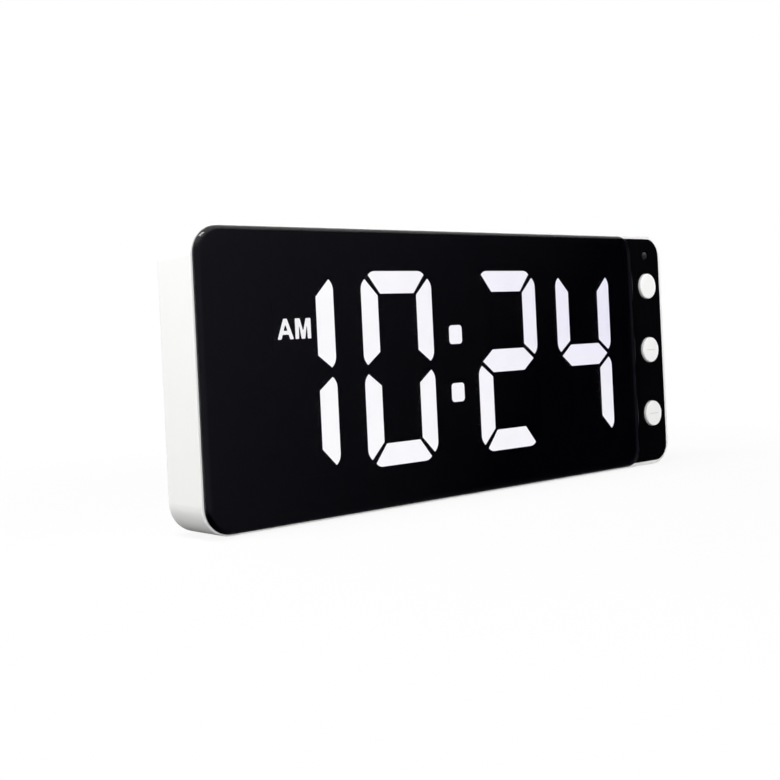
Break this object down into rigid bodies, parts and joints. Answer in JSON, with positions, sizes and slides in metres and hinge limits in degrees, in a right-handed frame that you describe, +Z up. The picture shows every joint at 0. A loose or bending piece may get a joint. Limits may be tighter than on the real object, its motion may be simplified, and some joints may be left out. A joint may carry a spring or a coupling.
{
  "type": "digital clock",
  "caption": "Slim desk and wall clock with large lit digits, a proud front lens, push caps beside it, a folding leg and keyholes at the back.",
  "frame": {"origin": "middle of the bounding box, at the underside of the foot pads, which stand on the surface", "axes": "+X across the front to the right-hand side with the caps, +Y from the lens to the back, +Z up; the clock faces -Y"},
  "size_m": [0.1782, 0.0176, 0.0736],
  "materials": {
    "case_white": "moulded plastic, fine satin texture",
    "front_black": "polished black plastic",
    "lens_acrylic": "polished smoked acrylic",
    "mask_black": "printed film",
    "adhesive_grey": "double-sided tape",
    "diffuser_white": "milky sheet, lit from behind",
    "reflector_white": "bright white moulding",
    "led_yellow": "phosphor over white",
    "board_green": "solder resist",
    "chip_black": "moulded epoxy",
    "plain_metal": "plated",
    "capacitor_amber": "moulded",
    "sensor_dark": "dark clear resin",
    "switch_black": "moulded",
    "cap_white": "moulded, satin",
    "contact_brass": "sprung leaf",
    "pad_rubber": "matte rubber",
    "screw_steel": "zinc plated"
  },
  "bodies": {
    "case": {"rear_shell": "case_white", "front_plate": "front_black", "display_lens": "lens_acrylic", "display_mask": "mask_black", "lens_adhesive": "adhesive_grey", "diffuser_sheet": "diffuser_white", "light_box": "reflector_white", "led_chips": "led_yellow", "main_board": "board_green", "display_driver": "chip_black", "clock_chip": "chip_black", "crystal": "plain_metal", "capacitors": "capacitor_amber", "resistors": "chip_black", "usb_socket": "plain_metal", "sounder": "chip_black", "light_sensor": "sensor_dark", "tact_switches": "switch_black", "coin_cell": "plain_metal", "cell_contacts": "contact_brass", "stand_pin": "plain_metal", "foot_pads": "pad_rubber", "case_screws": "screw_steel", "board_screws": "screw_steel"},
    "set_button": {"set_cap": "cap_white", "set_plunger": "switch_black"},
    "up_button": {"up_cap": "cap_white", "up_plunger": "switch_black"},
    "down_button": {"down_cap": "cap_white", "down_plunger": "switch_black"},
    "cell_cover": {"battery_cover": "case_white"},
    "stand": {"stand_leg": "case_white", "stand_tips": "pad_rubber"}
  },
  "joints": [
    {"name": "set_press", "type": "slide", "parent": "case", "child": "set_button", "axis": [0, 1, 0], "range_m": [0, 0.0004], "stiffness_N_per_m": 800, "springref_m": -0.0005},
    {"name": "up_press", "type": "slide", "parent": "case", "child": "up_button", "axis": [0, 1, 0], "range_m": [0, 0.0004], "stiffness_N_per_m": 800, "springref_m": -0.0005},
    {"name": "down_press", "type": "slide", "parent": "case", "child": "down_button", "axis": [0, 1, 0], "range_m": [0, 0.0004], "stiffness_N_per_m": 800, "springref_m": -0.0005},
    {"name": "cover_twist", "type": "hinge", "parent": "case", "child": "cell_cover", "pos_m": [0.052, 0.0088, 0.024], "axis": [0, 1, 0], "range_deg": [0, 60]},
    {"name": "stand_fold", "type": "hinge", "parent": "case", "child": "stand", "pos_m": [0, 0.00695, 0.048], "axis": [1, 0, 0], "range_deg": [0, 38]}
  ]
}
